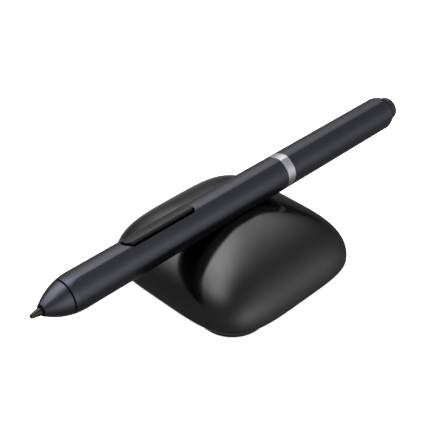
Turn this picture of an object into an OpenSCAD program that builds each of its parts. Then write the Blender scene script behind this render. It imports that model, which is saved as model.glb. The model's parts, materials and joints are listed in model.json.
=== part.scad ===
// Digitising pen lying in the channel of its desk stand.
// Millimetres, +Z up. The origin is the centre of the stand's underside, on the desk.
// The pen lies along X, with its drawing nib towards -X and its eraser towards +X.

/* [Pen] */
// Distance from the pen's axis to the middle of a crowned facet
facet_reach = 5.6; // [5.5:0.05:5.65]
// Largest radius of the barrel, at the rounded edges between the facets
barrel_r = 5.9; // [5.85:0.05:5.95]
// Length of the barrel from the seam behind the nose to the tail end
barrel_length = 143.8; // [143:0.2:150]
// Width of the silver trim ring
ring_width = 3.4; // [2.4:0.2:4]
// How far the drawing nib can be pressed in
nib_travel = 0.5; // [0.3:0.1:0.6]
// How far the eraser button can be pressed in
eraser_travel = 0.8; // [0.5:0.1:1]

/* [Side switch] */
// Length of the rocker
rocker_length = 26; // [25:0.5:28]
// Width of the rocker
rocker_width = 4.6; // [4.4:0.1:4.7]
// Height of the rocker above the facet
rocker_rise = 0.65; // [0.45:0.05:0.8]
// How far the rocker sits from the middle of its facet, towards the pen's front
rocker_aside = 1; // [0.9:0.05:1.05]
// Tilt of the rocker to either side
rocker_tilt = 2.5; // [1.5:0.5:2.5]

/* [Stand] */
// Half the width of the stand at its widest level
dome_half = 31.4; // [30.6:0.2:32]
// Height of the widest level above the desk
dome_waist = 4; // [4:0.1:4.5]
// Height of the dome's crown above its widest level
dome_rise = 19.3; // [18.8:0.1:19.6]
// Height of the seam between the dome and the base plate
seam_height = 2.4; // [2.2:0.1:2.6]
// Thickness of the dome's side wall
wall = 2.4; // [2:0.1:2.6]
// Height of the pen's axis above the desk
pen_height = 26.2; // [26.2:0.1:27]
// Number of spare nibs in the store
nib_count = 8; // [4:1:10]

/* [Hidden] */
$fn = 64;

// Clearances
fit = 0.02;         // between pieces that are fixed to each other
run = 0.05;         // radial, round a piece that slides or turns
loose = 0.1;        // round a piece that only has to drop in
cut = 1;            // how far a cutter passes a face that it opens

// Stations along the pen
nose_seam = -66.2;
tail_end = nose_seam + barrel_length;
ring_start = 20.8;
ring_end = ring_start + ring_width;
nose_blend_x = -61.6;   // where the nose curve reaches the full barrel radius
nose_tip_x = -74.4;     // front of the dark rim
nose_cone_x = -74;      // front of the metal cone
nose_hollow_x = -72.6;  // front of its hollow
nose_sleeve_x = -70.9;  // back of the rim's sleeve
nose_spigot_x = -62;    // back of the spigot inside the barrel
nose_tip_r = 1.56;
nose_power = 2.15;      // fullness of the nose curve
nose_wall = 1;
nose_steps = 16;

// Barrel tube
crown_r = 13;           // radius of a facet's crown
bore_r = 4.6;
facet_turn = 72.5;      // direction of the switch facet, from +Y towards +Z
tail_chamfer = 2.9;
tail_chamfer_r = 4.7;
button_hole_r = 4.25;
button_stop_x = tail_end - 3;   // inner face of the barrel's closed end

// Drawing nib
nib_tip_x = -77.8;
nib_r = 1.2;
nib_tip_r = 0.75;
nib_taper = 3.2;        // length of the visible taper
nib_body_x = -71;
nib_stem_r = 0.8;
nib_length = 13.5;

// Pieces inside the front barrel
holder_r = 1;
holder_front_x = -70.8;
holder_back_x = -57.5;
holder_flange_r = 2;
holder_flange = 1;
ferrite_hole_r = holder_r + run;
ferrite_r = 2.2;
ferrite_span = [-68.6, holder_back_x - 2 * fit];    // the holder's flange rests against it
bobbin_flange_r = 3.25;
bobbin_flange = 0.5;
coil_r = 3.05;
cushion_share = 4;      // a cushion's free length over its piece's travel
cushion_r = 1.7;
cushion_hole_r = 0.8;
bobbin_wall = 0.25;
nib_bobbin_inset = 0.6;     // ferrite left bare at each end of a bobbin
eraser_bobbin_inset = 0.4;
sensor_length = 3;
sensor_r = 3.2;
nib_sensor_x = holder_back_x + holder_flange + cushion_share * nib_travel;
tray_wall = 1.2;
tray_r = bore_r - fit;
joint_wall = 0.7;
joint_reach = 9;        // how far the joint sleeve reaches into each barrel
chassis_span = [-61.5, ring_start - joint_reach - 0.3];
board_span = [-49, 10];
board_y = 0.2;          // board's underside, towards the switch facet
board_thick = 0.8;
board_half = 3.8;

// Rocker and its pivot, measured outwards from the pen's axis
rocker_x = -30.5;
rocker_base = 3.9;
rocker_top = facet_reach + rocker_rise;
rocker_gap = 0.4;
rocker_corner = 1.1;    // round of its two corners towards the eraser
pivot_y = 2.9;
pin_r = 0.5;
ear_r = 0.85;
lug_half = 1.15;
ear_span = [1.3, 2];
ear_root = 0.5;         // how deep an ear reaches below the board
nub_arm = 10;           // distance of the two switches from the pivot
nub_bottom = 2.95;
nub_width = 1.6;
tact_gap = 0.03;        // left between nub and switch at full tilt
tact_top = nub_bottom - nub_arm * sin(rocker_tilt) - tact_gap;

// Pieces inside the tail barrel
eraser_tip = tail_end + 3.6;
eraser_r = button_hole_r - run;
eraser_collar_r = 4.5;
eraser_collar = 1.2;
eraser_collar_x = button_stop_x - eraser_collar - fit;
eraser_stem_r = 1;
eraser_stem_x = 58;
eraser_ferrite_span = [60.2, 68];
eraser_sensor_end = eraser_stem_x - cushion_share * eraser_travel;
tail_chassis_span = [50, 70.5];

// Stand
dome_power = 1.68;          // fullness of the dome from edge to crown
dome_root = 2.33;           // roundness of its shoulder
square_base = 4.15;         // squareness of the plan at the widest level
square_crown = 3.8;         // squareness of the plan near the crown
skirt_half = 27;
channel_r = barrel_r + 0.35;
channel_height = pen_height + channel_r - barrel_r - run;   // the pen rests on the bottom
cavity_top = 18.6;
dome_sides = 72;
dome_rings = 12;
base_half = 28.1;
base_corner = 10.8;
foot_thick = 0.6;
foot_inset = 0.35;
foot_hole_r = 15.2;
ballast_half = 22;
ballast_corner = 11;
ballast_top = 6.8;
rim_top = 3.8;
rim_wall = 1.2;
rim_corner = 12.4;
rim_gap = 0.3;              // between the rim and the shell's wall
screw_pitch = 18.6;
boss_r = 3.2;
pilot_r = 1;
screw_top = 9;
pilot_spare = 0.5;          // depth of a pilot hole past its screw
head_r = 2;
head_span = [0.7, 1.8];
door_r = 12.9;
door_top = 1.7;
lug_span = [seam_height + 0.15, seam_height + 1.15];
lug_r = 14.2;
lug_angle = 20;
door_turn = 40;             // twist from locked to free
tray_clear_r = 14.5;
tray_outer_r = 15.3;
tray_floor = [4, 5];
tray_block_r = 10.4;
tray_top = 16.7;
nib_circle_r = 8.3;
spare_tip_z = 3;
puller_r = 3;
puller_wire_r = 0.6;
puller_hub_r = 2.35;

// ---- frames ----

// Draws its children along the pen: local Z runs along +X, local XY is the section
module along_pen(x = 0) {
    translate([x, 0, pen_height]) rotate([90, 0, 90]) children();
}

// The same with local +Y pointing out of the switch facet
module at_facet(x = 0) {
    along_pen(x) rotate([0, 0, facet_turn - 90]) children();
}

// Round bar or tube along the pen, from span[0] to span[1]
module pen_tube(span, outer, inner = 0) {
    along_pen(span[0]) linear_extrude(span[1] - span[0]) difference() {
        circle(outer);
        if (inner > 0) circle(inner);
    }
}

// Section of the barrel: six crowned facets with rounded edges
module barrel_section() {
    intersection_for(side = [0 : 5])
        rotate(facet_turn + 60 * side) translate([facet_reach - crown_r, 0])
            circle(crown_r, $fn = 180);
}

module hex_bar(span) {
    along_pen(span[0]) linear_extrude(span[1] - span[0]) intersection() {
        barrel_section();
        circle(barrel_r, $fn = 180);
    }
}

// Radius of the round nose at a station along the pen
function nose_radius(x) = barrel_r
    - (barrel_r - nose_tip_r) * pow(max(0, nose_blend_x - x) / (nose_blend_x - nose_tip_x), nose_power);

// Solid of the nose curve from x0 to x1, drawn inset by a wall
module nose_solid(x0, x1, inset = 0) {
    curve = [for (i = [0 : nose_steps])
        let (x = x0 + (x1 - x0) * i / nose_steps) [nose_radius(x) - inset, x - x0]];
    along_pen(x0) rotate_extrude() polygon(concat([[0, 0]], curve, [[0, x1 - x0]]));
}

// ---- pen, outside ----

// Drawing nib about its own tip: local Z runs from the tip to the stem
module nib_shape() {
    body_end = nib_body_x - nib_tip_x;
    rotate_extrude() intersection() {
        union() {
            translate([0, nib_tip_r]) circle(nib_tip_r);
            polygon([[0, nib_tip_r], [nib_tip_r, nib_tip_r], [nib_r, nib_taper],
                     [nib_r, body_end], [0, body_end]]);
            translate([0, body_end]) square([nib_stem_r, nib_length - body_end]);
        }
        square([nib_r, nib_length]);
    }
}

module nib() {
    color("dimgray") along_pen(nib_tip_x) nib_shape();
}

module nose_ring() {
    color("black") difference() {
        union() {
            nose_solid(nose_tip_x, nose_cone_x);
            pen_tube([nose_cone_x, nose_sleeve_x], nose_tip_r);
        }
        pen_tube([nose_tip_x - cut, nose_sleeve_x + cut], nib_r + run);
    }
}

module nose_cone() {
    color("#3b3d4a") difference() {
        union() {
            nose_solid(nose_cone_x, nose_seam);
            pen_tube([nose_seam, nose_spigot_x], bore_r - fit);
        }
        pen_tube([nose_cone_x - cut, nose_hollow_x + cut], nose_tip_r + fit);
        nose_solid(nose_hollow_x, nose_seam, nose_wall);
        pen_tube([nose_seam - fit, nose_spigot_x + cut], bore_r - nose_wall);
    }
}

// Outline of the rocker and, with a gap, of its slot: round towards the nib, square-ended
// with small corners towards the eraser
module rocker_outline(gap = 0) {
    half_width = rocker_width / 2 + gap;
    reach = rocker_length / 2 + gap;
    corner = rocker_corner + gap;
    translate([0, half_width - reach]) circle(half_width);
    translate([-half_width, half_width - reach])
        square([2 * half_width, 2 * reach - half_width - corner]);
    translate([corner - half_width, reach - 2 * corner])
        square([2 * (half_width - corner), 2 * corner]);
    for (side = [-1, 1]) translate([side * (half_width - corner), reach - corner]) circle(corner);
}

// Pushes an outline in the facet's plane outwards, from one distance to another
module from_axis(low, high, x = rocker_x, aside = rocker_aside) {
    at_facet(x) translate([-aside, high, 0]) rotate([90, 0, 0]) linear_extrude(high - low)
        children();
}

// Round bar across the pen, on the rocker's pivot
module pivot_bar(from, to, r) {
    at_facet(rocker_x) translate([from - rocker_aside, pivot_y, 0]) rotate([0, 90, 0])
        cylinder(to - from, r = r);
}

module front_barrel() {
    color("#3b3d4a") difference() {
        intersection() {
            hex_bar([nose_seam, ring_start]);
            union() {
                nose_solid(nose_seam, nose_blend_x);
                pen_tube([nose_blend_x, ring_start], barrel_r + cut);
            }
        }
        pen_tube([nose_seam - cut, ring_start + cut], bore_r);
        from_axis(0, rocker_top + cut) rocker_outline(rocker_gap);
    }
}

module trim_ring() {
    color("silver") difference() {
        hex_bar([ring_start, ring_end]);
        pen_tube([ring_start - cut, ring_end + cut], bore_r);
    }
}

module tail_barrel() {
    chamfer_x = tail_end - tail_chamfer;
    color("#3b3d4a") difference() {
        intersection() {
            hex_bar([ring_end, tail_end]);
            union() {
                pen_tube([ring_end, chamfer_x], barrel_r + cut);
                along_pen(chamfer_x) cylinder(tail_chamfer, barrel_r, tail_chamfer_r);
            }
        }
        pen_tube([ring_end - cut, button_stop_x], bore_r);
        pen_tube([button_stop_x - cut, tail_end + cut], button_hole_r);
    }
}

module eraser_button() {
    edge_r = 1.7;
    color("#161616") {
        along_pen(eraser_collar_x) rotate_extrude() {
            square([eraser_collar_r, eraser_collar]);
            square([eraser_r, eraser_tip - edge_r - eraser_collar_x]);
            square([eraser_r - edge_r, eraser_tip - eraser_collar_x]);
            translate([eraser_r - edge_r, eraser_tip - edge_r - eraser_collar_x]) circle(edge_r);
        }
    }
}

// ---- side switch ----

module side_switch() {
    color("#1c1c1e") difference() {
        union() {
            from_axis(rocker_base, rocker_top) rocker_outline();
            pivot_bar(-lug_half, lug_half, ear_r);
            from_axis(pivot_y, rocker_base + fit) square([2 * lug_half, 2 * ear_r], center = true);
            for (side = [-1, 1]) from_axis(nub_bottom, rocker_base + fit, rocker_x + side * nub_arm)
                square(nub_width, center = true);
        }
        pivot_bar(-lug_half - cut, lug_half + cut, pin_r + run);
    }
}

module switch_pin() {
    color("silver") pivot_bar(-ear_span[1], ear_span[1], pin_r);
}

// ---- pen, inside ----

// Lower half of a tube: the tray that carries the pieces inside a barrel
module half_tray(span) {
    length = span[1] - span[0];
    at_facet(span[0]) linear_extrude(length) difference() {
        circle(tray_r);
        circle(tray_r - tray_wall);
        translate([-bore_r, board_y]) square([2 * bore_r, bore_r]);
    }
}

module chassis() {
    bridge = [6.6, 2.6];
    bridge_depth = 1.5;
    color("#2f3437") {
        half_tray(chassis_span);
        difference() {
            union() {
                from_axis(-bridge_depth, board_y, aside = 0) square(bridge, center = true);
                for (side = [-1, 1]) ear(side);
            }
            pivot_bar(-ear_span[1] - cut, ear_span[1] + cut, pin_r);
        }
    }
}

// One of the two ears that hold the rocker's pin
module ear(side) {
    thick = ear_span[1] - ear_span[0];
    middle = side * (ear_span[0] + ear_span[1]) / 2;
    from_axis(board_y - ear_root, pivot_y) translate([middle, 0])
        square([thick, 2 * ear_r], center = true);
    pivot_bar(middle - thick / 2, middle + thick / 2, ear_r);
}

module circuit_board() {
    window = [4.7, 2.8];
    color("darkgreen") difference() {
        at_facet(board_span[0]) translate([-board_half, board_y + fit, 0])
            cube([2 * board_half, board_thick, board_span[1] - board_span[0]]);
        from_axis(board_y - cut, board_y + board_thick + cut) square(window, center = true);
    }
}

// Box that stands on the board, centred at a station along the pen
module on_board(x, size, aside = 0) {
    base = board_y + fit + board_thick;
    from_axis(base, base + size[2], x, aside) square([size[0], size[1]], center = true);
}

module board_chips() {
    processor = [4, 4, 0.9];
    memory = [3, 3, 0.8];
    capacitor = [1.6, 0.8, 0.5];
    pitch = 1.8;
    color("#202022") {
        on_board(-4, processor);
        on_board(4, memory);
        for (row = [0 : 3]) on_board(-13 + pitch * row, capacitor);
        for (row = [0 : 2]) on_board(-47 + pitch * row, capacitor);
    }
}

module tact_switches() {
    body = [3, 3, 0.9];
    plunger_r = 0.9;
    base = board_y + fit + board_thick;
    color("gainsboro") for (side = [-1, 1]) {
        x = rocker_x + side * nub_arm;
        on_board(x, body, rocker_aside);
        from_axis(base + body[2] - fit, tact_top, x) circle(plunger_r);
    }
}

module nib_holder() {
    stem_end = nib_tip_x + nib_length;
    color("#44484c") difference() {
        union() {
            pen_tube([holder_front_x, holder_back_x], holder_r);
            pen_tube([holder_back_x - fit, holder_back_x + holder_flange], holder_flange_r);
        }
        pen_tube([holder_front_x - cut, stem_end + fit], nib_stem_r + fit);
    }
}

module ferrite_core() {
    color("#4a4a4c") pen_tube(ferrite_span, ferrite_r, ferrite_hole_r);
}

// Coil former: a sleeve between two flanges
module bobbin(span) {
    color("ivory") {
        pen_tube(span, ferrite_r + bobbin_wall, ferrite_r + fit);
        for (x = [span[0], span[1] - bobbin_flange])
            pen_tube([x, x + bobbin_flange], bobbin_flange_r, ferrite_r + fit);
    }
}

module coil(span) {
    color("#b5703a") pen_tube([span[0] + bobbin_flange + fit, span[1] - bobbin_flange - fit],
                              coil_r, ferrite_r + bobbin_wall + fit);
}

function inset_span(span, by) = [span[0] + by, span[1] - by];

module coil_bobbin() {
    bobbin(inset_span(ferrite_span, nib_bobbin_inset));
}

module antenna_coil() {
    coil(inset_span(ferrite_span, nib_bobbin_inset));
}

module nib_cushion() {
    color("#8c8f94") pen_tube([holder_back_x + holder_flange + fit, nib_sensor_x - fit],
                              cushion_r, cushion_hole_r);
}

module nib_sensor() {
    color("#5a5d62") pen_tube([nib_sensor_x, nib_sensor_x + sensor_length], sensor_r);
}

module joint_sleeve() {
    color("#8d9096") pen_tube([ring_start - joint_reach, ring_end + joint_reach],
                              bore_r - fit, bore_r - joint_wall);
}

module eraser_stem() {
    color("#44484c") {
        pen_tube([eraser_stem_x, eraser_collar_x - fit], eraser_stem_r);
        pen_tube([eraser_stem_x, eraser_stem_x + holder_flange], holder_flange_r);
    }
}

module eraser_ferrite() {
    color("#4a4a4c") pen_tube(eraser_ferrite_span, ferrite_r, eraser_stem_r + run);
}

module eraser_bobbin() {
    bobbin(inset_span(eraser_ferrite_span, eraser_bobbin_inset));
}

module eraser_coil() {
    coil(inset_span(eraser_ferrite_span, eraser_bobbin_inset));
}

module eraser_cushion() {
    color("#8c8f94") pen_tube([eraser_sensor_end + fit, eraser_stem_x - fit],
                              cushion_r, cushion_hole_r);
}

module eraser_sensor() {
    color("#5a5d62") pen_tube([eraser_sensor_end - sensor_length, eraser_sensor_end], sensor_r);
}

module tail_chassis() {
    color("#2f3437") half_tray(tail_chassis_span);
}

// ---- stand ----

// Reach of a rounded square of half-width 1 in a direction; a larger power is squarer
function square_reach(direction, power) =
    pow(pow(abs(cos(direction)), power) + pow(abs(sin(direction)), power), -1 / power);

// Ring of points of a rounded square at one level
function square_ring(half, power, z, sides) = [for (i = [0 : sides - 1])
    let (direction = 360 * i / sides, reach = half * square_reach(direction, power))
    [reach * cos(direction), reach * sin(direction), z]];

function dome_z(share, waist, rise) = waist + rise * pow(1 - pow(share, dome_power), 1 / dome_root);

function dome_squareness(share) = square_crown + (square_base - square_crown) * pow(share, 3);

// Rings from the crown out to the waist, then round the tucked-in skirt to the bottom edge
function dome_points(half, waist, rise, foot_half, foot_z, sides, rings) = concat(
    [for (j = [1 : rings])
        let (share = sin(90 * j / rings))
        square_ring(half * share, dome_squareness(share), dome_z(share, waist, rise), sides)],
    [for (j = [1 : 4])
        let (turn = 90 * j / 4)
        square_ring(foot_half + (half - foot_half) * cos(turn), square_base,
                    waist - (waist - foot_z) * sin(turn), sides)]);

// Closed dome: a crown point, rings of quads and a flat underside
module dome(half, waist, rise, foot_half, foot_z, sides, rings) {
    levels = dome_points(half, waist, rise, foot_half, foot_z, sides, rings);
    last = len(levels) - 1;
    points = concat([[0, 0, waist + rise]], [for (level = levels) each level]);
    crown = [for (i = [0 : sides - 1]) [0, 1 + (i + 1) % sides, 1 + i]];
    skin = [for (j = [0 : last - 1], i = [0 : sides - 1])
        let (a = 1 + j * sides, b = a + sides, next = (i + 1) % sides)
        [a + i, a + next, b + next, b + i]];
    underside = [[for (i = [0 : sides - 1]) 1 + last * sides + i]];
    polyhedron(points, concat(crown, skin, underside), convexity = 4);
}

// Square with round corners, centred
module rounded_square(half, corner) {
    straight = 2 * (half - corner);
    square([2 * half, straight], center = true);
    square([straight, 2 * half], center = true);
    at_corners(half - corner) circle(corner);
}

module at_corners(pitch) {
    for (x = [-pitch, pitch], y = [-pitch, pitch]) translate([x, y]) children();
}

module stand_shell() {
    color("#0d0d0e") difference() {
        dome(dome_half, dome_waist, dome_rise, skirt_half, seam_height, dome_sides, dome_rings);
        difference() {
            dome(dome_half - wall, dome_waist, cavity_top - dome_waist,
                 skirt_half - wall, seam_height - fit, dome_sides * 2 / 3, dome_rings / 2);
            at_corners(screw_pitch) translate([0, 0, rim_top]) cylinder(cavity_top, r = boss_r);
        }
        at_corners(screw_pitch) cylinder(screw_top + pilot_spare, r = pilot_r + fit);
        translate([-dome_half - cut, 0, channel_height]) rotate([0, 90, 0])
            cylinder(2 * (dome_half + cut), r = channel_r);
    }
}

module base_plate() {
    rim_half = skirt_half - wall - rim_gap;
    color("#151515") difference() {
        union() {
            translate([0, 0, foot_thick]) linear_extrude(seam_height - foot_thick)
                rounded_square(base_half, base_corner);
            translate([0, 0, seam_height]) linear_extrude(rim_top - seam_height) difference() {
                rounded_square(rim_half, rim_corner);
                rounded_square(rim_half - rim_wall, rim_corner - rim_wall);
            }
            at_corners(screw_pitch) translate([0, 0, foot_thick])
                cylinder(rim_top - foot_thick, r = boss_r);
        }
        cylinder(2 * rim_top, r = door_r + run);
        for (side = [0 : 2]) rotate(120 * side + door_turn) lug(foot_thick - cut, seam_height + cut, 2);
        at_corners(screw_pitch) {
            cylinder(2 * rim_top, r = pilot_r + 2 * loose);
            cylinder(head_span[1] + fit, r = head_r + loose);
        }
    }
}

// Sector of the bayonet, centred on +X, wider by an angle on each side
module lug(low, high, spare = 0) {
    half_angle = lug_angle / 2 + spare;
    reach = 2 * lug_r;
    translate([0, 0, low]) linear_extrude(high - low) intersection() {
        circle(lug_r + spare * run);
        polygon([[0, 0], [reach * cos(half_angle), -reach * sin(half_angle)],
                 [reach * cos(half_angle), reach * sin(half_angle)]]);
    }
}

module store_door() {
    neck_r = door_r - 0.3;
    neck_wall = 2;
    slot = [14, 2, 0.7];        // for a coin
    color("#1a1a1a") difference() {
        union() {
            translate([0, 0, foot_thick]) cylinder(door_top - foot_thick, r = door_r);
            translate([0, 0, foot_thick]) cylinder(lug_span[1] - foot_thick, r = neck_r);
            for (side = [0 : 2]) rotate(120 * side) lug(lug_span[0], lug_span[1]);
        }
        translate([0, 0, door_top]) cylinder(2 * rim_top, r = neck_r - neck_wall);
        translate([0, 0, foot_thick]) cube([slot[0], slot[1], 2 * slot[2]], center = true);
    }
}

module ballast() {
    span = [seam_height + fit, ballast_top];
    color("slategray") translate([0, 0, span[0]]) linear_extrude(span[1] - span[0]) difference() {
        rounded_square(ballast_half, ballast_corner);
        circle(tray_outer_r + loose);
        at_corners(screw_pitch) circle(boss_r + 3 * loose);
    }
}

module base_screws() {
    color("silver") at_corners(screw_pitch) {
        translate([0, 0, head_span[0]]) cylinder(head_span[1] - head_span[0], r = head_r);
        translate([0, 0, head_span[0]]) cylinder(screw_top - head_span[0], r = pilot_r);
    }
}

module foot_pad() {
    color("#222222") linear_extrude(foot_thick) difference() {
        rounded_square(base_half - foot_inset, base_corner - foot_inset);
        circle(foot_hole_r);
    }
}

// Places its children at each spare nib's tip
module at_spares() {
    for (i = [0 : nib_count - 1]) rotate(360 * i / nib_count)
        translate([nib_circle_r, 0, spare_tip_z]) children();
}

module nib_tray() {
    body_end = nib_body_x - nib_tip_x;
    color("#3a3d40") difference() {
        union() {
            translate([0, 0, seam_height]) cylinder(tray_floor[1] - seam_height, r = tray_outer_r);
            translate([0, 0, tray_floor[0]]) cylinder(tray_top - tray_floor[0], r = tray_block_r);
        }
        translate([0, 0, seam_height - cut]) difference() {
            cylinder(tray_floor[0] - seam_height + cut, r = tray_clear_r);
            translate([0, 0, spare_tip_z - seam_height + cut])
                cylinder(tray_floor[0] - spare_tip_z, r = puller_hub_r);
        }
        at_spares() {
            cylinder(body_end + fit, r = nib_r + run);
            cylinder(nib_length + fit, r = nib_stem_r + run);
        }
    }
}

module spare_nibs() {
    color("dimgray") at_spares() nib_shape();
}

module nib_puller() {
    gap_angle = 25;
    color("silver") translate([0, 0, tray_floor[0] - puller_wire_r - fit])
        rotate([0, 0, gap_angle / 2]) rotate_extrude(angle = 360 - gap_angle)
            translate([puller_r, 0]) circle(puller_wire_r);
}

nib();
nose_ring();
nose_cone();
front_barrel();
trim_ring();
tail_barrel();
joint_sleeve();
side_switch();
switch_pin();
chassis();
circuit_board();
board_chips();
tact_switches();
nib_holder();
ferrite_core();
coil_bobbin();
antenna_coil();
nib_cushion();
nib_sensor();
eraser_button();
eraser_stem();
eraser_ferrite();
eraser_bobbin();
eraser_coil();
eraser_cushion();
eraser_sensor();
tail_chassis();
stand_shell();
base_plate();
ballast();
base_screws();
foot_pad();
store_door();
nib_tray();
spare_nibs();
nib_puller();
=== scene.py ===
"""Looks of a digitising pen that lies on its desk stand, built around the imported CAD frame."""
import json
import math

import bmesh
import bpy
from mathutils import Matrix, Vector


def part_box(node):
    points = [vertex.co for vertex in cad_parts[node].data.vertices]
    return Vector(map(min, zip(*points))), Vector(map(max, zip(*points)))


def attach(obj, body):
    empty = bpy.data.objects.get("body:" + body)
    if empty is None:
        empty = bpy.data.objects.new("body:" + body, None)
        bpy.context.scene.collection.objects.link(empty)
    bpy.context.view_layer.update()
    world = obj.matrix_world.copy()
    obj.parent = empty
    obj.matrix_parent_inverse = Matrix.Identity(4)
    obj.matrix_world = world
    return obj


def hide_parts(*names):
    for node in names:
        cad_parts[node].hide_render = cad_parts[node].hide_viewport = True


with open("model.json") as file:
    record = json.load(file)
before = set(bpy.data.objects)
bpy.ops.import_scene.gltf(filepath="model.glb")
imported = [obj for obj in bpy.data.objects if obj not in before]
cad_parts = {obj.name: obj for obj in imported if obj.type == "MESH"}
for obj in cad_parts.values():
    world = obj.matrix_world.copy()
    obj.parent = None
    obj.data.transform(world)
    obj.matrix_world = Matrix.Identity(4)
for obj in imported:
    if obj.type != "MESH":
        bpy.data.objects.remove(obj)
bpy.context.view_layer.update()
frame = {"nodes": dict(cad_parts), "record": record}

MM = 0.001
TAU = 2 * math.pi


# ---------------------------------------------------------------- driving sizes, from the frame

def span(node, axis):
    """Lowest and highest coordinate of a CAD node along one axis, in millimetres."""
    low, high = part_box(node)
    return low[axis] / MM, high[axis] / MM


def middle(node, axis):
    """Middle of a CAD node along one axis, in millimetres."""
    low, high = span(node, axis)
    return (low + high) / 2


PEN_Z = middle("joint_sleeve", 2)
BORE_R = (span("joint_sleeve", 2)[1] - span("joint_sleeve", 2)[0]) / 2
NIB_TIP, NIB_END = span("nib", 0)
NOSE_TIP, SLEEVE_END = span("nose_ring", 0)
NOSE_FRONT, SPIGOT_END = span("nose_cone", 0)
BARREL_START, RING_START = span("front_barrel", 0)
RING_END, TAIL_END = span("tail_barrel", 0)
BUTTON_START, BUTTON_TIP = span("eraser_button", 0)
ROCKER_START, ROCKER_END = span("side_switch", 0)
DOME_HALF = span("stand_shell", 1)[1]
SEAM_Z, DOME_TOP = span("stand_shell", 2)
BASE_HALF = span("base_plate", 1)[1]
FOOT_HALF = span("foot_pad", 1)[1]
FOOT_TOP = span("foot_pad", 2)[1]

# All lengths below are in millimetres. The pen lies along X, its nib towards -X.

# Barrel: six crowned facets with blended edges
FACETS = 6
FACET_REACH = 5.6           # from the pen's axis to the middle of a facet
FACET_TURN = math.radians(72.5)     # direction of the rocker's facet, from +Y towards +Z
CROWN_R = 13.0              # radius of a facet's crown
BARREL_R = 5.9              # limit of the blended edges
EDGE_BLEND = 0.16
SOFT_BLEND = 0.55           # the edge below the front facet is worn soft
SOFT_EDGE = math.radians(162.5)
EDGE = 0.1                  # small chamfer on cut edges

# Nose cone and its seam
NOSE_BLEND = -61.6          # where the six sides begin to run into the round nose
NOSE_TIP_R = 1.56
NOSE_POWER = 2.15           # fullness of the nose
NOSE_WALL = 1.0
NOSE_HOLLOW = -72.6         # front end of the hollow
GROOVE = 0.19               # half the width of the open seam behind the nose

# Nib
NIB_R = 1.2
NIB_TIP_R = 0.75
NIB_TAPER = 3.2             # length of the tapered front
NIB_BODY = 6.8              # length down to the thinner stem
NIB_STEM_R = 0.8

# Tail and eraser button
TAIL_CHAMFER = 2.9
TAIL_CHAMFER_R = 4.7
TAIL_ROUND = 1.35           # 1 is a straight chamfer, more is rounder
TAIL_WALL = 3.0             # thickness of the barrel's end wall
BUTTON_R = 4.15
BUTTON_HOLE_R = 4.3
BUTTON_ROUND = 1.5          # rounding of the button's rim
BUTTON_DOME = 0.3           # rise of its face
COLLAR_R = 4.5
COLLAR = 1.2

# Rocker, measured outwards from the pen's axis and aside from the middle of its facet
ROCKER_X = (ROCKER_START + ROCKER_END) / 2
ROCKER_RUN = (ROCKER_END - ROCKER_START) / 2
ROCKER_ASIDE = -1.0         # towards the pen's front
ROCKER_HALF = 2.3           # half its width
ROCKER_BASE = 3.9           # its underside
ROCKER_FOOT = 0.6           # height of the upright part below its leaning sides
ROCKER_TOP = 6.2
ROCKER_GAP = 0.4            # all round, to the slot
ROCKER_CORNER = 1.1         # corners at the eraser end
ROCKER_ROUND = 0.35         # rounding of the rim
ROCKER_TUCK = 0.55          # how far its sides lean in below the rim
ROCKER_CROWN = 18.0         # radius of its top across the pen

# Stand
DOME_WAIST = 4.0
DOME_RISE = DOME_TOP - DOME_WAIST
DOME_POWER = 1.68           # fullness of the dome from edge to crown
DOME_ROOT = 2.33            # roundness of its shoulder
SQUARE_BASE = 4.15          # squareness of the plan at the waist
SQUARE_CROWN = 3.8          # squareness of the plan near the crown
SKIRT_HALF = 27.0           # half the width at the seam
SHELL_WALL = 2.4
CAVITY_RISE = 14.3          # height of the cavity above the waist
CAVITY_FOOT = 0.93          # width of the cavity at the seam against its width at the waist
CHANNEL_R = BARREL_R + 0.35
REST_GAP = 0.05             # clearance under the pen
CHANNEL_Z = PEN_Z + CHANNEL_R - BARREL_R - REST_GAP
CHANNEL_LIP = 0.5           # blend of the channel's edge
BASE_CORNER = 10.8
BASE_ROUND = 0.35           # round along the base plate's upper edge
FOOT_HOLE_R = 15.2
DOOR_HOLE_R = 12.95
LUG_HOLE_R = 14.3
LUG_PITCH = 120             # degrees between the door's lugs
LUG_HALF_ANGLE = 12
DOOR_TURN = 40

# Reference view and studio
VIEW = (-45.16, 35.96)      # azimuth and elevation in degrees
VIEW_TARGET = (15.97, 23.18, 0.04)
VIEW_DISTANCE = 352.9
SENSOR = 36
LENS = 84.4
FLOOR_HALF = 3000


# ---------------------------------------------------------------- mesh helpers

def new_object(name, mesh, body, material):
    """Links a mesh given in millimetres, converts it to metres and makes it ride on a CAD body."""
    for vertex in mesh.vertices:
        vertex.co *= MM
    obj = bpy.data.objects.new(name, mesh)
    bpy.context.scene.collection.objects.link(obj)
    mesh.materials.append(material)
    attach(obj, body)
    return obj


def shade(mesh, angle):
    """Smooth shading that keeps edges sharper than an angle."""
    mesh.polygons.foreach_set("use_smooth", [True] * len(mesh.polygons))
    mesh.set_sharp_from_angle(angle=math.radians(angle))


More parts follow.
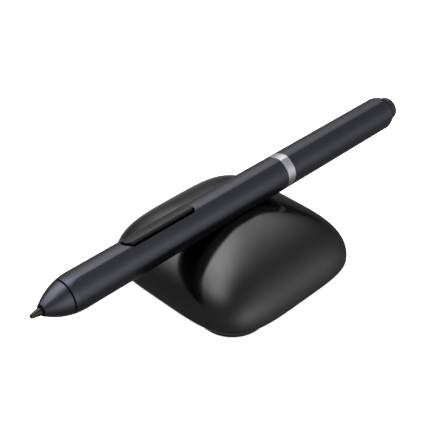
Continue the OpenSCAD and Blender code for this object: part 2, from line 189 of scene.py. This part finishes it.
def loft(rings, closed=False):
    """Mesh through rings of equal count. closed joins the last ring to the first, as in a tube;
    otherwise each end is filled to its middle."""
    bm = bmesh.new()
    loops = [[bm.verts.new(p) for p in ring] for ring in rings]
    count = len(loops[0])
    pairs = list(zip(loops, loops[1:]))
    if closed:
        pairs.append((loops[-1], loops[0]))
    for a, b in pairs:
        for i in range(count):
            j = (i + 1) % count
            bm.faces.new((a[i], a[j], b[j], b[i]))
    if not closed:
        for loop, flip in ((loops[0], True), (loops[-1], False)):
            centre = bm.verts.new(sum((v.co for v in loop), Vector()) / count)
            for i in range(count):
                j = (i + 1) % count
                bm.faces.new((loop[j], loop[i], centre) if flip else (loop[i], loop[j], centre))
    bmesh.ops.recalc_face_normals(bm, faces=bm.faces)
    mesh = bpy.data.meshes.new("loft")
    bm.to_mesh(mesh)
    bm.free()
    return mesh


def arc(centre, radius, start, end, count):
    """Points of a plane arc, angles in degrees."""
    points = []
    for i in range(count + 1):
        turn = math.radians(start + (end - start) * i / count)
        points.append((centre[0] + radius * math.cos(turn), centre[1] + radius * math.sin(turn)))
    return points


def stations(start, end, size):
    """Values from start to end, about size apart."""
    count = max(1, round(abs(end - start) / size))
    return [start + (end - start) * i / count for i in range(count + 1)]


# ---------------------------------------------------------------- pen geometry

def on_section(x, radius, angle):
    """Point of the pen at a station, a radius and a direction from +Y towards +Z."""
    return (x, radius * math.cos(angle), PEN_Z + radius * math.sin(angle))


def edge_blend(angle):
    """Softness of the nearest edge between facets."""
    narrowness = 8
    near = max(0.0, math.cos(angle - SOFT_EDGE)) ** narrowness
    return EDGE_BLEND + (SOFT_BLEND - EDGE_BLEND) * near


def facet_radius(angle):
    """Reach of the six crowned facets with blended edges, never past the barrel radius."""
    facing = 0.2            # cosine beyond which a facet is too far round to matter
    offset = CROWN_R - FACET_REACH
    blend = edge_blend(angle)
    total = 0.0
    for side in range(FACETS):
        turn = math.cos(angle - FACET_TURN - side * TAU / FACETS)
        if turn > facing:
            reach = -offset * turn + math.sqrt(CROWN_R ** 2 - offset ** 2 * (1 - turn ** 2))
            total += math.exp(-reach / blend)
    return min(-blend * math.log(total), BARREL_R)


def section_angles(per_facet=26):
    """Directions round the section, closer together near the edges between facets."""
    angles = []
    for side in range(FACETS):
        for i in range(per_facet):
            share = math.sin((i / per_facet - 0.5) * math.pi)
            angles.append(FACET_TURN + (side + share / 2) * TAU / FACETS)
    return angles


ANGLES = section_angles()
SECTION = [facet_radius(angle) for angle in ANGLES]


def nose_radius(x):
    """Radius of the round nose at a station."""
    share = max(0.0, NOSE_BLEND - x) / (NOSE_BLEND - NOSE_TIP)
    return BARREL_R - (BARREL_R - NOSE_TIP_R) * share ** NOSE_POWER


def barrel_ring(x, limit=BARREL_R, inset=0.0):
    """Ring of the six-sided barrel, cut back to a round limit."""
    return [on_section(x, min(reach - inset, limit), a) for reach, a in zip(SECTION, ANGLES)]


def round_ring(x, radius):
    """Round ring whose points match those of the six-sided rings."""
    return [on_section(x, radius, a) for a in ANGLES]


def turned(profile, hollow, sides=96):
    """Piece turned round the pen's axis from (station, radius) points. A hollow one closes its
    profile into a loop."""
    rings = [[on_section(x, radius, TAU * i / sides) for i in range(sides)] for x, radius in profile]
    return loft(rings, closed=hollow)


def rocker_outline(grow):
    """Outline in the facet's plane as (aside, along) points, grown by a margin: round towards
    the nib, square-ended with small corners towards the eraser."""
    half = ROCKER_HALF + grow
    reach = ROCKER_RUN + grow
    least_corner = 0.15
    corner = max(ROCKER_CORNER + grow, least_corner)
    points = arc((half - corner, reach - corner), corner, 0, 90, 10)
    points += arc((corner - half, reach - corner), corner, 90, 180, 10)
    return points + arc((0, half - reach), half, 180, 360, 28)


def facet_point(aside, out, along):
    """Point given aside from the facet's middle, outwards from the pen's axis, and along the pen."""
    side = FACET_TURN - TAU / 4
    y = aside * math.cos(side) + out * math.cos(FACET_TURN)
    z = aside * math.sin(side) + out * math.sin(FACET_TURN)
    return (along, y, PEN_Z + z)


def rocker_ring(outline, out, crown=0.0):
    """Outline raised from the pen's axis; its two long sides may drop away from a crown."""
    return [facet_point(ROCKER_ASIDE + a, out - crown * a * a, ROCKER_X + b) for a, b in outline]


def slot_cutter():
    """Opening through the barrel wall that flares into a small chamfer at the facet."""
    heights = (2.0, 5.0, 5.5, 7.5)
    flares = (0.0, 0.0, 0.05, 1.6)
    return loft([rocker_ring(rocker_outline(ROCKER_GAP + flare), height)
                 for height, flare in zip(heights, flares)])


def cut_with(mesh, cutter_mesh):
    """Mesh minus the cutter, with Blender's exact boolean."""
    body = bpy.data.objects.new("cut_body", mesh)
    cutter = bpy.data.objects.new("cut_tool", cutter_mesh)
    for obj in (body, cutter):
        bpy.context.scene.collection.objects.link(obj)
    modifier = body.modifiers.new("slot", "BOOLEAN")
    modifier.operation = "DIFFERENCE"
    modifier.solver = "EXACT"
    modifier.object = cutter
    bpy.context.view_layer.update()
    evaluated = body.evaluated_get(bpy.context.evaluated_depsgraph_get())
    out = bpy.data.meshes.new_from_object(evaluated)
    bpy.data.objects.remove(body)
    bpy.data.objects.remove(cutter)
    return out


def front_barrel_mesh():
    """Grip and barrel tube from the nose's seam to the silver ring, with the rocker's slot."""
    start = BARREL_START + GROOVE
    rings = [barrel_ring(start, nose_radius(start) - EDGE)]
    fine = stations(start + EDGE, NOSE_BLEND + 2, 0.3)
    plain = stations(NOSE_BLEND + 3, RING_START - EDGE, 1.0)
    rings += [barrel_ring(x, nose_radius(x)) for x in fine + plain]
    rings.append(barrel_ring(RING_START, inset=EDGE))
    rings += [round_ring(x, BORE_R) for x in stations(RING_START, start, 1.0)]
    return cut_with(loft(rings, closed=True), slot_cutter())


def tail_barrel_mesh():
    """Rear tube with a rounded chamfer and the button's hole through its end wall."""
    chamfer_start = TAIL_END - TAIL_CHAMFER
    drop = BARREL_R - TAIL_CHAMFER_R
    stop = TAIL_END - TAIL_WALL
    rings = [barrel_ring(RING_END, inset=EDGE)]
    rings += [barrel_ring(x) for x in stations(RING_END + EDGE, chamfer_start - 0.5, 2.0)]
    for x in stations(chamfer_start - 0.4, TAIL_END - EDGE, 0.2):
        share = max(0.0, x - chamfer_start) / TAIL_CHAMFER
        rings.append(barrel_ring(x, BARREL_R - drop * share ** TAIL_ROUND))
    rings.append(round_ring(TAIL_END, TAIL_CHAMFER_R - EDGE))
    rings.append(round_ring(TAIL_END, BUTTON_HOLE_R + EDGE))
    rings.append(round_ring(TAIL_END - EDGE, BUTTON_HOLE_R))
    rings.append(round_ring(stop, BUTTON_HOLE_R))
    rings.append(round_ring(stop, BORE_R))
    rings.append(round_ring(RING_END, BORE_R))
    return loft(rings, closed=True)


def trim_ring_mesh():
    """Silver ring with the section of the barrel."""
    rings = [barrel_ring(RING_START, inset=EDGE), barrel_ring(RING_START + EDGE)]
    rings += [barrel_ring(RING_END - EDGE), barrel_ring(RING_END, inset=EDGE)]
    rings += [round_ring(RING_END, BORE_R), round_ring(RING_START, BORE_R)]
    return loft(rings, closed=True)


def nose_cone_mesh():
    """Turned nose: its shoulder stops short of the barrel and leaves an open groove."""
    ring_gap = 0.02
    hole = NOSE_TIP_R + ring_gap
    shoulder = BARREL_START - GROOVE
    profile = [(NOSE_FRONT, hole), (NOSE_FRONT, nose_radius(NOSE_FRONT) - EDGE)]
    profile += [(x, nose_radius(x)) for x in stations(NOSE_FRONT + EDGE, shoulder - EDGE, 0.25)]
    profile += [(shoulder, nose_radius(shoulder) - EDGE), (shoulder, BORE_R)]
    profile += [(SPIGOT_END, BORE_R), (SPIGOT_END, BORE_R - NOSE_WALL)]
    profile += [(BARREL_START, BORE_R - NOSE_WALL)]
    hollow = stations(BARREL_START - 0.2, NOSE_HOLLOW, 0.6)
    profile += [(x, nose_radius(x) - NOSE_WALL) for x in hollow]
    profile += [(NOSE_HOLLOW, hole)]
    return turned(profile, hollow=True)


def nose_ring_mesh():
    """Black rim round the nib, with a softened front edge, on a sleeve inside the nose."""
    nib_gap = 0.05
    bore = NIB_R + nib_gap
    root = nose_radius(NOSE_FRONT)
    profile = [(NOSE_TIP + 0.2, bore), (NOSE_TIP, bore + 0.06)]
    profile += [(NOSE_TIP, NOSE_TIP_R - 0.08), (NOSE_TIP + 0.12, NOSE_TIP_R + 0.02)]
    profile += [(NOSE_FRONT - EDGE, root - 0.05), (NOSE_FRONT, root - 0.15)]
    profile += [(NOSE_FRONT, NOSE_TIP_R), (SLEEVE_END, NOSE_TIP_R), (SLEEVE_END, bore)]
    return turned(profile, hollow=True)


def nib_mesh():
    """Bullet-shaped point, straight body and thinner stem."""
    taper_end = NIB_TIP + NIB_TAPER
    body_end = NIB_TIP + NIB_BODY
    profile = arc((NIB_TIP + NIB_TIP_R, 0), NIB_TIP_R, 178, 96, 10)
    profile += [(taper_end, NIB_R), (body_end - EDGE, NIB_R), (body_end, NIB_R - EDGE)]
    profile += [(body_end, NIB_STEM_R), (NIB_END - EDGE, NIB_STEM_R), (NIB_END, NIB_STEM_R - EDGE)]
    return turned(profile, hollow=False)


def eraser_button_mesh():
    """Button with a rounded rim and a slightly domed face, on its retaining collar."""
    collar_end = BUTTON_START + COLLAR
    profile = [(BUTTON_START, COLLAR_R - EDGE), (BUTTON_START + EDGE, COLLAR_R)]
    profile += [(collar_end - EDGE, COLLAR_R), (collar_end, COLLAR_R - EDGE), (collar_end, BUTTON_R)]
    rim_x = BUTTON_TIP - BUTTON_DOME - BUTTON_ROUND
    profile += arc((rim_x, BUTTON_R - BUTTON_ROUND), BUTTON_ROUND, 90, 12, 12)
    face_r = profile[-1][1]
    for share in (0.8, 0.6, 0.4, 0.2):
        profile.append((BUTTON_TIP - BUTTON_DOME * share ** 2, face_r * share))
    return turned(profile, hollow=False)


def rocker_mesh():
    """Rocker cap with rounded rims and a top that is crowned across the pen."""
    crown = 1 / (2 * ROCKER_CROWN)
    tucked = rocker_outline(-ROCKER_TUCK)
    rings = [rocker_ring(tucked, ROCKER_BASE), rocker_ring(tucked, ROCKER_BASE + ROCKER_FOOT)]
    for x, y in arc((0, 0), ROCKER_ROUND, 0, 90, 8):
        outline = rocker_outline(x - ROCKER_ROUND)
        rings.append(rocker_ring(outline, ROCKER_TOP - ROCKER_ROUND + y, crown))
    for inset in (0.55, 0.8, 1.1, 1.4, 1.7, 2.0, 2.2):
        rings.append(rocker_ring(rocker_outline(-inset), ROCKER_TOP, crown))
    return loft(rings)


# ---------------------------------------------------------------- stand geometry

def square_reach(direction, power):
    """Reach of a rounded square of half-width 1; a larger power is squarer."""
    c = abs(math.cos(direction))
    s = abs(math.sin(direction))
    return (c ** power + s ** power) ** (-1 / power)


def smooth_min(a, b, blend):
    """Lower of two heights with a rounded corner."""
    h = max(blend - abs(a - b), 0.0) / blend
    return min(a, b) - h * h * blend / 4


def dome_height(share, rise):
    """Height of the dome at a share of the way from its middle (0) to its edge (1)."""
    return DOME_WAIST + rise * max(0.0, 1 - share ** DOME_POWER) ** (1 / DOME_ROOT)


def dome_reach(half, share, direction):
    """Distance from the middle at a share of the way out; the plan gets squarer outwards."""
    power = SQUARE_CROWN + (SQUARE_BASE - SQUARE_CROWN) * share ** 3
    return half * share * square_reach(direction, power)


def channel_height(y):
    """Height of the channel's round wall; far above the dome outside its width."""
    beyond = abs(y) - CHANNEL_R
    if beyond >= 0:
        return CHANNEL_Z + 2 * beyond
    return CHANNEL_Z - math.sqrt(CHANNEL_R ** 2 - y ** 2)


def grid_values(dense_to, dense_step, count):
    """Values from -1 to 1: evenly dense near 0, then closing up towards the ends."""
    half = stations(0.0, dense_to, dense_step)
    for i in range(1, count + 1):
        half.append(dense_to + (1 - dense_to) * math.sin(i / count * math.pi / 2))
    return [-v for v in reversed(half[1:])] + half


def dome_skin(half, rise, columns, rows, carve):
    """Square grid of points spread over the dome, its outer edge lying on the waist."""
    grid = []
    for v in rows:
        line = []
        for u in columns:
            share = max(abs(u), abs(v))
            direction = math.atan2(v, u)
            reach = dome_reach(half, share, direction) if share > 0 else 0.0
            x = reach * math.cos(direction)
            y = reach * math.sin(direction)
            z = dome_height(share, rise)
            if carve:
                z = smooth_min(z, channel_height(y), CHANNEL_LIP)
            line.append((x, y, z))
        grid.append(line)
    return grid


def grid_border(grid):
    """Indices of the grid's outer edge, once round."""
    rows = len(grid)
    columns = len(grid[0])
    border = [(0, j) for j in range(columns)]
    border += [(i, columns - 1) for i in range(1, rows)]
    border += [(rows - 1, j) for j in range(columns - 2, -1, -1)]
    border += [(i, 0) for i in range(rows - 2, 0, -1)]
    return border


def skin_faces(bm, grid):
    """Adds the grid's quads and returns the vertices of its outer edge in order."""
    verts = [[bm.verts.new(p) for p in line] for line in grid]
    for i in range(len(grid) - 1):
        for j in range(len(grid[0]) - 1):
            bm.faces.new((verts[i][j], verts[i][j + 1], verts[i + 1][j + 1], verts[i + 1][j]))
    return [verts[i][j] for i, j in grid_border(grid)]


def band(bm, upper, lower):
    """Quads between two loops of vertices."""
    count = len(upper)
    for i in range(count):
        j = (i + 1) % count
        bm.faces.new((upper[i], upper[j], lower[j], lower[i]))


def skirt_loops(bm, border, count):
    """Loops that tuck in from the waist to the shell's bottom edge."""
    loops = []
    for k in range(1, count + 1):
        turn = TAU / 4 * k / count
        shrink = (SKIRT_HALF + (DOME_HALF - SKIRT_HALF) * math.cos(turn)) / DOME_HALF
        z = DOME_WAIST - (DOME_WAIST - SEAM_Z) * math.sin(turn)
        loops.append([bm.verts.new((v.co.x * shrink, v.co.y * shrink, z)) for v in border])
    return loops


def stand_shell_mesh():
    """Outer skin with the pen channel, tucked skirt, bottom rim and a plain cavity."""
    bm = bmesh.new()
    columns = grid_values(dense_to=0.3, dense_step=0.02, count=44)
    rows = grid_values(dense_to=0.3, dense_step=0.008, count=40)
    outer = skin_faces(bm, dome_skin(DOME_HALF, DOME_RISE, columns, rows, carve=True))
    skirt = skirt_loops(bm, outer, count=10)
    for upper, lower in zip([outer] + skirt, skirt):
        band(bm, upper, lower)
    inner_half = DOME_HALF - SHELL_WALL
    inner = skin_faces(bm, dome_skin(inner_half, CAVITY_RISE, columns, rows, carve=False))
    rim = [bm.verts.new((v.co.x * CAVITY_FOOT, v.co.y * CAVITY_FOOT, SEAM_Z)) for v in inner]
    band(bm, inner, rim)
    band(bm, skirt[-1], rim)
    bmesh.ops.recalc_face_normals(bm, faces=bm.faces)
    mesh = bpy.data.meshes.new("stand_shell")
    bm.to_mesh(mesh)
    bm.free()
    return mesh


def rounded_ring(half, corner, z, samples=24, side_steps=16):
    """Square with round corners, as a ring of points; its straight sides are divided too."""
    pitch = half - corner
    ring = []
    for quarter, (x, y) in enumerate(((1, 1), (-1, 1), (-1, -1), (1, -1))):
        turn = 90 * quarter
        points = arc((x * pitch, y * pitch), corner, turn, turn + 90, samples)
        end_x, end_y = points[-1]
        for step in range(1, side_steps):
            reach = 2 * pitch * step / side_steps
            points.append((end_x - reach * math.cos(math.radians(turn)),
                           end_y - reach * math.sin(math.radians(turn))))
        ring += [(px, py, z) for px, py in points]
    return ring


def circle_ring(like, radius, z):
    """Circle whose points lie in the same directions as another ring's."""
    return [tuple(Vector((x, y)).normalized() * radius) + (z,) for x, y, _ in like]


def door_cutter():
    """Round opening of the nib store with the three passages for the door's lugs."""
    outline = []
    for degree in range(0, 360, 2):
        off = abs((degree - DOOR_TURN + LUG_PITCH / 2) % LUG_PITCH - LUG_PITCH / 2)
        radius = LUG_HOLE_R if off <= LUG_HALF_ANGLE else DOOR_HOLE_R
        turn = math.radians(degree)
        outline.append((radius * math.cos(turn), radius * math.sin(turn)))
    return loft([[(x, y, z) for x, y in outline] for z in (-1.0, SEAM_Z + 1.0)])


def base_plate_mesh():
    """Plate with a vertical side and a small round along its upper edge."""
    rings = [rounded_ring(BASE_HALF - EDGE, BASE_CORNER - EDGE, FOOT_TOP)]
    rings.append(rounded_ring(BASE_HALF, BASE_CORNER, FOOT_TOP + EDGE))
    for inset, rise in arc((BASE_ROUND, BASE_ROUND), BASE_ROUND, 180, 90, 6):
        z = SEAM_Z - 2 * BASE_ROUND + rise
        rings.append(rounded_ring(BASE_HALF - inset, BASE_CORNER - inset, z))
    return cut_with(loft(rings), door_cutter())


def foot_pad_mesh():
    """Rubber pad with a round window for the store door."""
    corner = BASE_CORNER - (BASE_HALF - FOOT_HALF)
    rings = [rounded_ring(FOOT_HALF - EDGE, corner - EDGE, 0.0)]
    rings.append(rounded_ring(FOOT_HALF, corner, EDGE))
    rings.append(rounded_ring(FOOT_HALF, corner, FOOT_TOP))
    rings.append(circle_ring(rings[0], FOOT_HOLE_R, FOOT_TOP))
    rings.append(circle_ring(rings[0], FOOT_HOLE_R, 0.0))
    return loft(rings, closed=True)


# ---------------------------------------------------------------- material helpers

class Nodes:
    """Short calls for building a node tree."""

    def __init__(self, name):
        self.material = bpy.data.materials.new(name)
        self.material.use_nodes = True
        self.tree = self.material.node_tree
        self.shader = self.tree.nodes["Principled BSDF"]

    def add(self, kind, **inputs):
        """New node; values set its inputs, sockets are linked to them."""
        node = self.tree.nodes.new(kind)
        for key, value in inputs.items():
            self.put(node.inputs[key.replace("_", " ")], value)
        return node

    def put(self, socket, value):
        """Links a socket to the input, or sets the input to a plain value."""
        if isinstance(value, bpy.types.NodeSocket):
            self.tree.links.new(value, socket)
        else:
            socket.default_value = value

    def set(self, **inputs):
        """Sets or links inputs of the shader itself."""
        for key, value in inputs.items():
            self.put(self.shader.inputs[key.replace("_", " ")], value)

    def place(self):
        """Object coordinates: the row frame, in metres."""
        return self.add("ShaderNodeTexCoord").outputs["Object"]

    def noise(self, scale, detail=3.0, stretch=None):
        """Noise in the row frame, optionally stretched along an axis."""
        where = self.place()
        if stretch:
            mapping = self.add("ShaderNodeMapping", Vector=where, Scale=stretch)
            where = mapping.outputs["Vector"]
        return self.add("ShaderNodeTexNoise", Vector=where, Scale=scale, Detail=detail).outputs["Fac"]

    def remap(self, value, low, high):
        """Maps a 0.3 to 0.7 noise onto a range."""
        node = self.add("ShaderNodeMapRange", Value=value)
        node.inputs["From Min"].default_value = 0.3
        node.inputs["From Max"].default_value = 0.7
        node.inputs["To Min"].default_value = low
        node.inputs["To Max"].default_value = high
        return node.outputs["Result"]

    def mix(self, factor, a, b):
        """Colour between two others."""
        node = self.tree.nodes.new("ShaderNodeMix")
        node.data_type = "RGBA"
        self.put(node.inputs["Factor"], factor)
        self.put(node.inputs["A"], a)
        self.put(node.inputs["B"], b)
        return node.outputs["Result"]

    def bump(self, height, strength, distance=0.00002):
        """Fine relief; the distance is in metres."""
        node = self.add("ShaderNodeBump", Height=height, Strength=strength, Distance=distance)
        self.put(self.shader.inputs["Normal"], node.outputs["Normal"])


def rgb(r, g, b):
    """Opaque colour."""
    return (r, g, b, 1.0)


def coated_metal():
    """Satin slate coating: fine orange-peel grain and slow sheen variation."""
    n = Nodes("barrel_finish")
    slow = n.noise(60.0, 2.0)
    base = n.mix(n.remap(slow, 0.0, 1.0), rgb(0.046, 0.047, 0.059), rgb(0.050, 0.051, 0.064))
    n.set(Base_Color=base, Metallic=1.0, Roughness=n.remap(n.noise(90.0, 4.0), 0.27, 0.31))
    n.bump(n.noise(5200.0, 2.0), 0.06)
    return n.material


def satin_silver():
    """Turned silver ring with fine lines round it."""
    n = Nodes("ring_metal")
    lines = n.noise(900.0, 2.0, stretch=(12.0, 0.4, 0.4))
    base = n.mix(n.remap(lines, 0.0, 1.0), rgb(0.40, 0.40, 0.42), rgb(0.48, 0.48, 0.50))
    n.set(Base_Color=base, Metallic=1.0, Roughness=n.remap(lines, 0.26, 0.36))
    n.bump(lines, 0.12)
    return n.material


def moulded(name, colour, rough, grain=4200.0, strength=0.08, gloss=0.5):
    """Moulded plastic: fine spark-eroded grain, slow gloss variation, faint colour drift."""
    n = Nodes(name)
    slow = n.noise(45.0, 3.0)
    lighter = tuple(c * 1.25 + 0.0001 for c in colour)
    base = n.mix(n.remap(slow, 0.0, 1.0), rgb(*colour), rgb(*lighter))
    n.set(Base_Color=base, Roughness=n.remap(n.noise(110.0, 4.0), rough - 0.03, rough + 0.04))
    n.set(Specular_IOR_Level=gloss)
    n.bump(n.noise(grain, 2.0), strength)
    return n.material


def plain_metal(name, colour, rough):
    """Bare metal with a slight drawn grain."""
    n = Nodes(name)
    grain = n.noise(700.0, 3.0, stretch=(0.3, 4.0, 4.0))
    darker = tuple(c * 0.8 for c in colour)
    n.set(Base_Color=n.mix(n.remap(grain, 0.0, 1.0), rgb(*darker), rgb(*colour)), Metallic=1.0)
    n.set(Roughness=n.remap(grain, rough - 0.05, rough + 0.08))
    n.bump(grain, 0.1)
    return n.material


def wound_copper():
    """Enamelled wire: turns side by side along the pen."""
    n = Nodes("copper_wire")
    wave = n.add("ShaderNodeTexWave", Vector=n.place(), Scale=2600.0)
    turns = wave.outputs["Fac"]
    n.set(Base_Color=n.mix(turns, rgb(0.22, 0.07, 0.025), rgb(0.62, 0.26, 0.1)), Metallic=0.9)
    n.set(Roughness=0.3)
    n.bump(turns, 0.6, 0.00005)
    return n.material


def printed_board():
    """Green board with paler copper tracks under the mask."""
    n = Nodes("board")
    brick = n.add("ShaderNodeTexBrick", Vector=n.place(), Scale=420.0, Mortar_Size=0.03)
    tracks = brick.outputs["Fac"]
    n.set(Base_Color=n.mix(tracks, rgb(0.015, 0.1, 0.04), rgb(0.04, 0.2, 0.07)), Roughness=0.35)
    n.bump(tracks, 0.2, 0.00003)
    return n.material


def rubber(name, colour):
    """Matt rubber with a coarse, soft grain."""
    n = Nodes(name)
    grain = n.noise(2400.0, 4.0)
    lighter = tuple(c * 1.3 + 0.002 for c in colour)
    n.set(Base_Color=n.mix(n.remap(grain, 0.0, 1.0), rgb(*colour), rgb(*lighter)))
    n.set(Roughness=n.remap(n.noise(80.0), 0.6, 0.75))
    n.bump(grain, 0.25, 0.00004)
    return n.material


MATERIALS = {
    "barrel_finish": coated_metal(),
    "ring_metal": satin_silver(),
    "sleeve_metal": plain_metal("sleeve_metal", (0.5, 0.51, 0.53), 0.32),
    "nib_plastic": moulded("nib_plastic", (0.001, 0.001, 0.0011), 0.13, gloss=0.32),
    "nose_rim": moulded("nose_rim", (0.0003, 0.0003, 0.0003), 0.3, gloss=0.12),
    "dark_trim": moulded("dark_trim", (0.0005, 0.0005, 0.0006), 0.24),
    "switch_plastic": moulded("switch_plastic", (0.0006, 0.0006, 0.0006), 0.3, gloss=0.25),
    "inner_plastic": moulded("inner_plastic", (0.05, 0.052, 0.055), 0.5),
    "bobbin_plastic": moulded("bobbin_plastic", (0.7, 0.67, 0.56), 0.45),
    "board": printed_board(),
    "chip_black": moulded("chip_black", (0.02, 0.02, 0.02), 0.5),
    "switch_metal": plain_metal("switch_metal", (0.65, 0.65, 0.63), 0.3),
    "steel": plain_metal("steel", (0.6, 0.6, 0.61), 0.25),
    "ferrite": moulded("ferrite", (0.06, 0.06, 0.062), 0.55, 1500.0, 0.2),
    "copper_wire": wound_copper(),
    "silicone": rubber("silicone", (0.35, 0.36, 0.38)),
    "sensor_case": moulded("sensor_case", (0.1, 0.105, 0.11), 0.45),
    "stand_black": moulded("stand_black", (0.0003, 0.0003, 0.0003), 0.16, 5200.0, 0.02),
    "base_black": moulded("base_black", (0.0003, 0.0003, 0.0003), 0.25),
    "ballast_iron": plain_metal("ballast_iron", (0.2, 0.2, 0.21), 0.5),
    "foot_rubber": rubber("foot_rubber", (0.002, 0.002, 0.002)),
}


def dress_cad_nodes():
    """Gives every CAD node the material of its slot in the record."""
    for part in frame["record"]["subparts"]:
        obj = frame["nodes"][part["node"]]
        material = MATERIALS[part["material_slot"]]
        if not obj.material_slots:
            obj.data.materials.append(material)
        for slot in obj.material_slots:
            slot.material = material


# ---------------------------------------------------------------- pieces

def piece(node, mesh, body, slot, angle=35, finish=None):
    """A finished mesh that stands for one CAD node, in its slot's material or another finish."""
    shade(mesh, angle)
    obj = new_object(node + "_skin", mesh, body, MATERIALS[finish or slot])
    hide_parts(node)


def build_pen():
    piece("front_barrel", front_barrel_mesh(), "pen", "barrel_finish", 25)
    piece("tail_barrel", tail_barrel_mesh(), "pen", "barrel_finish", 25)
    piece("trim_ring", trim_ring_mesh(), "pen", "ring_metal", 25)
    piece("nose_cone", nose_cone_mesh(), "pen", "barrel_finish")
    piece("nose_ring", nose_ring_mesh(), "pen", "dark_trim", finish="nose_rim")
    piece("nib", nib_mesh(), "nib_plunger", "nib_plastic")
    piece("eraser_button", eraser_button_mesh(), "eraser_plunger", "dark_trim")
    piece("side_switch", rocker_mesh(), "rocker", "switch_plastic")


def build_stand():
    piece("stand_shell", stand_shell_mesh(), "stand", "stand_black", 40)
    piece("base_plate", base_plate_mesh(), "stand", "base_black", 40)
    piece("foot_pad", foot_pad_mesh(), "stand", "foot_rubber", 40)


# ---------------------------------------------------------------- studio

def build_floor():
    """Pale paper under the stand that glossy surfaces don't mirror."""
    size = FLOOR_HALF * MM
    bm = bmesh.new()
    bm.faces.new([bm.verts.new((x * size, y * size, 0)) for x, y in ((-1, -1), (1, -1), (1, 1), (-1, 1))])
    mesh = bpy.data.meshes.new("floor")
    bm.to_mesh(mesh)
    bm.free()
    floor = bpy.data.objects.new("floor", mesh)
    bpy.context.scene.collection.objects.link(floor)
    n = Nodes("floor_paper")
    tone = n.mix(n.remap(n.noise(3.0), 0.0, 1.0), rgb(0.9, 0.9, 0.9), rgb(0.93, 0.93, 0.93))
    n.set(Base_Color=tone, Roughness=0.9, Emission_Color=rgb(1, 1, 1), Emission_Strength=0.8)
    mesh.materials.append(n.material)
    floor.visible_glossy = False


def bearing(azimuth, elevation):
    """Unit vector towards a bearing. Azimuth 0 is seen from -Y, 90 from +X."""
    a = math.radians(azimuth)
    e = math.radians(elevation)
    return Vector((math.sin(a) * math.cos(e), -math.cos(a) * math.cos(e), math.sin(e)))


# Soft boxes of the studio: azimuth, elevation, half width (degrees) and brightness
SOFTBOXES = [
    (186, 72, 13, 4.5),     # overhead, behind the pen
    (195, 43, 14, 4.4),     # behind, lower
    (132, 58, 16, 3.5),     # behind, towards the eraser end
    (148, 27, 11, 2.2),     # the same, lower
    (-106, 61, 12, 3.9),    # behind, towards the nib
    (-11, 6, 19, 1.55),     # low, in front
    (24, 11, 27, 1.55),     # low, front right
    (157, -42, 15, 1.3),    # from the pale floor behind
    (-67, 7, 60, 0.52),     # weak and wide, from the left
]
ROOM_LIGHT = 0.016


def build_world():
    """A dark room with soft boxes that fade out smoothly; the camera itself sees plain white."""
    world = bpy.data.worlds.new("studio")
    world.use_nodes = True
    tree = world.node_tree
    tree.nodes.clear()

    def maths(operation, a, b):
        """Result of an arithmetic node on two sockets or numbers."""
        node = tree.nodes.new("ShaderNodeMath")
        node.operation = operation
        for socket, value in zip(node.inputs, (a, b)):
            if isinstance(value, bpy.types.NodeSocket):
                tree.links.new(value, socket)
            else:
                socket.default_value = value
        return node.outputs["Value"]

    look = tree.nodes.new("ShaderNodeTexCoord").outputs["Generated"]
    total = ROOM_LIGHT
    for azimuth, elevation, width, brightness in SOFTBOXES:
        dot = tree.nodes.new("ShaderNodeVectorMath")
        dot.operation = "DOT_PRODUCT"
        tree.links.new(look, dot.inputs[0])
        dot.inputs[1].default_value = bearing(azimuth, elevation)
        fall = maths("MULTIPLY", maths("SUBTRACT", dot.outputs["Value"], 1.0),
                     1 / math.radians(width) ** 2)
        glow = maths("MULTIPLY", maths("EXPONENT", fall, 0.0), brightness)
        total = maths("ADD", glow, total)

    rays = tree.nodes.new("ShaderNodeLightPath")
    seen = tree.nodes.new("ShaderNodeBackground")
    seen.inputs["Color"].default_value = rgb(1, 1, 1)
    unseen = tree.nodes.new("ShaderNodeBackground")
    tree.links.new(total, unseen.inputs["Strength"])
    mix = tree.nodes.new("ShaderNodeMixShader")
    out = tree.nodes.new("ShaderNodeOutputWorld")
    tree.links.new(rays.outputs["Is Camera Ray"], mix.inputs["Fac"])
    tree.links.new(unseen.outputs["Background"], mix.inputs[1])
    tree.links.new(seen.outputs["Background"], mix.inputs[2])
    tree.links.new(mix.outputs["Shader"], out.inputs["Surface"])
    bpy.context.scene.world = world


def build_camera():
    """Camera of the reference view."""
    back = bearing(*VIEW)
    data = bpy.data.cameras.new("camera")
    data.sensor_width = SENSOR
    data.lens = LENS
    data.clip_start = 0.01
    camera = bpy.data.objects.new("camera", data)
    camera.location = (Vector(VIEW_TARGET) + back * VIEW_DISTANCE) * MM
    camera.rotation_euler = back.to_track_quat("Z", "Y").to_euler()
    bpy.context.scene.collection.objects.link(camera)
    bpy.context.scene.camera = camera


dress_cad_nodes()
build_pen()
build_stand()
build_floor()
build_world()
build_camera()
bpy.context.scene.view_settings.view_transform = "Standard"
